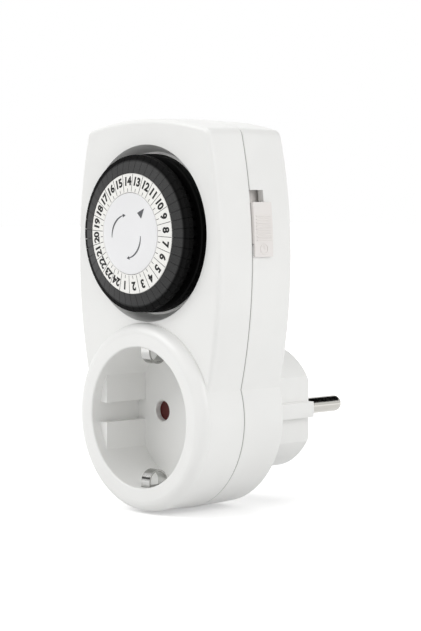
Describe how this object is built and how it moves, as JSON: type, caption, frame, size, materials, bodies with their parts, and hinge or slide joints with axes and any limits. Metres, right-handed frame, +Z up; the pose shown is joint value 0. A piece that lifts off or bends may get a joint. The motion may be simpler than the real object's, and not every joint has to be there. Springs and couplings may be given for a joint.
{
  "type": "plug-in timer switch",
  "caption": "Mechanical timer switch with a round earthed socket cup in front, a pin plug behind, a dial of push segments above and an override slider in its side.",
  "frame": {"origin": "centre of the plug's face, between the two pins", "axes": "+X to the right seen from the front, +Y out of the plug's face along the pins, +Z up towards the dial"},
  "size_m": [0.0609, 0.0746, 0.1109],
  "materials": {
    "white_housing": "satin moulded thermoplastic, fine spark-eroded texture",
    "white_ring": "satin, printed in black and grey",
    "grey_cap": "satin, printed in dark grey",
    "black_dial": "fine matt moulded",
    "black_segment": "fine matt moulded",
    "slider_white": "satin moulded",
    "shutter_red": "matt moulded",
    "plug_nickel": "bright nickel plate on brass",
    "contact_brass": "rolled strip, bright",
    "earth_steel": "tinned spring strip",
    "zinc_steel": "zinc plated",
    "mechanism_plastic": "natural acetal, matt",
    "wheel_plastic": "white acetal",
    "lever_plastic": "natural glass-filled polyamide",
    "coil_copper": "enamelled copper wire",
    "bobbin_plastic": "black polyamide",
    "magnet_ferrite": "sintered ferrite, ground",
    "arbor_steel": "ground steel",
    "spring_steel": "bright spring wire",
    "silver_contact": "bronze strip with a silvered rivet"
  },
  "bodies": {
    "housing": {"front_housing": "white_housing", "rear_housing": "white_housing", "centre_cap": "grey_cap", "mechanism_plate": "mechanism_plastic", "housing_screws": "zinc_steel", "motor_can": "zinc_steel", "motor_end_plate": "zinc_steel", "coil_bobbin": "bobbin_plastic", "coil_winding": "coil_copper", "wheel_arbors": "arbor_steel", "lever_pin": "arbor_steel", "plug_pin_left": "plug_nickel", "plug_pin_right": "plug_nickel", "socket_contact_left": "contact_brass", "socket_contact_right": "contact_brass", "earth_clip_upper": "earth_steel", "earth_clip_lower": "earth_steel", "earth_bridge": "earth_steel", "plug_earth_contact_upper": "earth_steel", "plug_earth_contact_lower": "earth_steel", "fixed_contact": "silver_contact", "shutter_spring": "spring_steel"},
    "dial": {"segment_carrier": "black_dial", "number_ring": "white_ring"},
    "hour_01": {"segments_hour_01": "black_segment"},
    "hour_02": {"segments_hour_02": "black_segment"},
    "hour_03": {"segments_hour_03": "black_segment"},
    "hour_04": {"segments_hour_04": "black_segment"},
    "hour_05": {"segments_hour_05": "black_segment"},
    "hour_06": {"segments_hour_06": "black_segment"},
    "hour_07": {"segments_hour_07": "black_segment"},
    "hour_08": {"segments_hour_08": "black_segment"},
    "hour_09": {"segments_hour_09": "black_segment"},
    "hour_10": {"segments_hour_10": "black_segment"},
    "hour_11": {"segments_hour_11": "black_segment"},
    "hour_12": {"segments_hour_12": "black_segment"},
    "hour_13": {"segments_hour_13": "black_segment"},
    "hour_14": {"segments_hour_14": "black_segment"},
    "hour_15": {"segments_hour_15": "black_segment"},
    "hour_16": {"segments_hour_16": "black_segment"},
    "hour_17": {"segments_hour_17": "black_segment"},
    "hour_18": {"segments_hour_18": "black_segment"},
    "hour_19": {"segments_hour_19": "black_segment"},
    "hour_20": {"segments_hour_20": "black_segment"},
    "hour_21": {"segments_hour_21": "black_segment"},
    "hour_22": {"segments_hour_22": "black_segment"},
    "hour_23": {"segments_hour_23": "black_segment"},
    "hour_24": {"segments_hour_24": "black_segment"},
    "slider": {"override_slider": "slider_white"},
    "lever": {"switch_lever": "lever_plastic", "moving_contact": "silver_contact"},
    "shutter": {"safety_shutter": "shutter_red"},
    "wheel_2": {"reduction_wheel_2": "wheel_plastic"},
    "wheel_1": {"reduction_wheel_1": "wheel_plastic"},
    "rotor": {"rotor_magnet": "magnet_ferrite", "rotor_shaft": "arbor_steel"}
  },
  "joints": [
    {"name": "dial_turn", "type": "hinge", "parent": "housing", "child": "dial", "pos_m": [0, 0, 0.0518], "axis": [0, 1, 0], "continuous": true},
    {"name": "override_slide", "type": "slide", "parent": "housing", "child": "slider", "axis": [0, 0, 1], "range_m": [0, 0.0032]},
    {"name": "shutter_turn", "type": "hinge", "parent": "housing", "child": "shutter", "pos_m": [0, -0.0321, 0], "axis": [0, 1, 0], "range_deg": [0, 42], "stiffness_Nm_per_rad": 0.002, "springref_deg": -11.46},
    {"name": "press_hour_01", "type": "slide", "parent": "dial", "child": "hour_01", "axis": [0, 1, 0], "range_m": [0, 0.0025]},
    {"name": "press_hour_02", "type": "slide", "parent": "dial", "child": "hour_02", "axis": [0, 1, 0], "range_m": [0, 0.0025]},
    {"name": "press_hour_03", "type": "slide", "parent": "dial", "child": "hour_03", "axis": [0, 1, 0], "range_m": [0, 0.0025]},
    {"name": "press_hour_04", "type": "slide", "parent": "dial", "child": "hour_04", "axis": [0, 1, 0], "range_m": [0, 0.0025]},
    {"name": "press_hour_05", "type": "slide", "parent": "dial", "child": "hour_05", "axis": [0, 1, 0], "range_m": [0, 0.0025]},
    {"name": "press_hour_06", "type": "slide", "parent": "dial", "child": "hour_06", "axis": [0, 1, 0], "range_m": [0, 0.0025]},
    {"name": "press_hour_07", "type": "slide", "parent": "dial", "child": "hour_07", "axis": [0, 1, 0], "range_m": [0, 0.0025]},
    {"name": "press_hour_08", "type": "slide", "parent": "dial", "child": "hour_08", "axis": [0, 1, 0], "range_m": [0, 0.0025]},
    {"name": "press_hour_09", "type": "slide", "parent": "dial", "child": "hour_09", "axis": [0, 1, 0], "range_m": [0, 0.0025]},
    {"name": "press_hour_10", "type": "slide", "parent": "dial", "child": "hour_10", "axis": [0, 1, 0], "range_m": [0, 0.0025]},
    {"name": "press_hour_11", "type": "slide", "parent": "dial", "child": "hour_11", "axis": [0, 1, 0], "range_m": [0, 0.0025]},
    {"name": "press_hour_12", "type": "slide", "parent": "dial", "child": "hour_12", "axis": [0, 1, 0], "range_m": [0, 0.0025]},
    {"name": "press_hour_13", "type": "slide", "parent": "dial", "child": "hour_13", "axis": [0, 1, 0], "range_m": [0, 0.0025]},
    {"name": "press_hour_14", "type": "slide", "parent": "dial", "child": "hour_14", "axis": [0, 1, 0], "range_m": [0, 0.0025]},
    {"name": "press_hour_15", "type": "slide", "parent": "dial", "child": "hour_15", "axis": [0, 1, 0], "range_m": [0, 0.0025]},
    {"name": "press_hour_16", "type": "slide", "parent": "dial", "child": "hour_16", "axis": [0, 1, 0], "range_m": [0, 0.0025]},
    {"name": "press_hour_17", "type": "slide", "parent": "dial", "child": "hour_17", "axis": [0, 1, 0], "range_m": [0, 0.0025]},
    {"name": "press_hour_18", "type": "slide", "parent": "dial", "child": "hour_18", "axis": [0, 1, 0], "range_m": [0, 0.0025]},
    {"name": "press_hour_19", "type": "slide", "parent": "dial", "child": "hour_19", "axis": [0, 1, 0], "range_m": [0, 0.0025]},
    {"name": "press_hour_20", "type": "slide", "parent": "dial", "child": "hour_20", "axis": [0, 1, 0], "range_m": [0, 0.0025]},
    {"name": "press_hour_21", "type": "slide", "parent": "dial", "child": "hour_21", "axis": [0, 1, 0], "range_m": [0, 0.0025]},
    {"name": "press_hour_22", "type": "slide", "parent": "dial", "child": "hour_22", "axis": [0, 1, 0], "range_m": [0, 0.0025]},
    {"name": "press_hour_23", "type": "slide", "parent": "dial", "child": "hour_23", "axis": [0, 1, 0], "range_m": [0, 0.0025]},
    {"name": "press_hour_24", "type": "slide", "parent": "dial", "child": "hour_24", "axis": [0, 1, 0], "range_m": [0, 0.0025]},
    {"name": "lever_swing", "type": "hinge", "parent": "housing", "child": "lever", "pos_m": [0.0175, -0.0391, 0.052], "axis": [-1, 0, 0], "range_deg": [0, 7.5]},
    {"name": "wheel_2_turn", "type": "hinge", "parent": "housing", "child": "wheel_2", "pos_m": [-0.01212, -0.0411, 0.0588], "axis": [0, 1, 0], "continuous": true},
    {"name": "wheel_1_turn", "type": "hinge", "parent": "housing", "child": "wheel_1", "pos_m": [-0.00712, -0.0401, 0.06746], "axis": [0, 1, 0], "continuous": true},
    {"name": "rotor_turn", "type": "hinge", "parent": "housing", "child": "rotor", "pos_m": [0.00154, -0.0311, 0.06246], "axis": [0, 1, 0], "continuous": true}
  ],
  "couplings": [
    {"joint": "lever_swing", "follows": "override_slide", "rad_per_m": 40.9},
    {"joint": "wheel_2_turn", "follows": "dial_turn", "ratio": -3.6667},
    {"joint": "wheel_1_turn", "follows": "dial_turn", "ratio": 11},
    {"joint": "rotor_turn", "follows": "dial_turn", "ratio": -33}
  ]
}
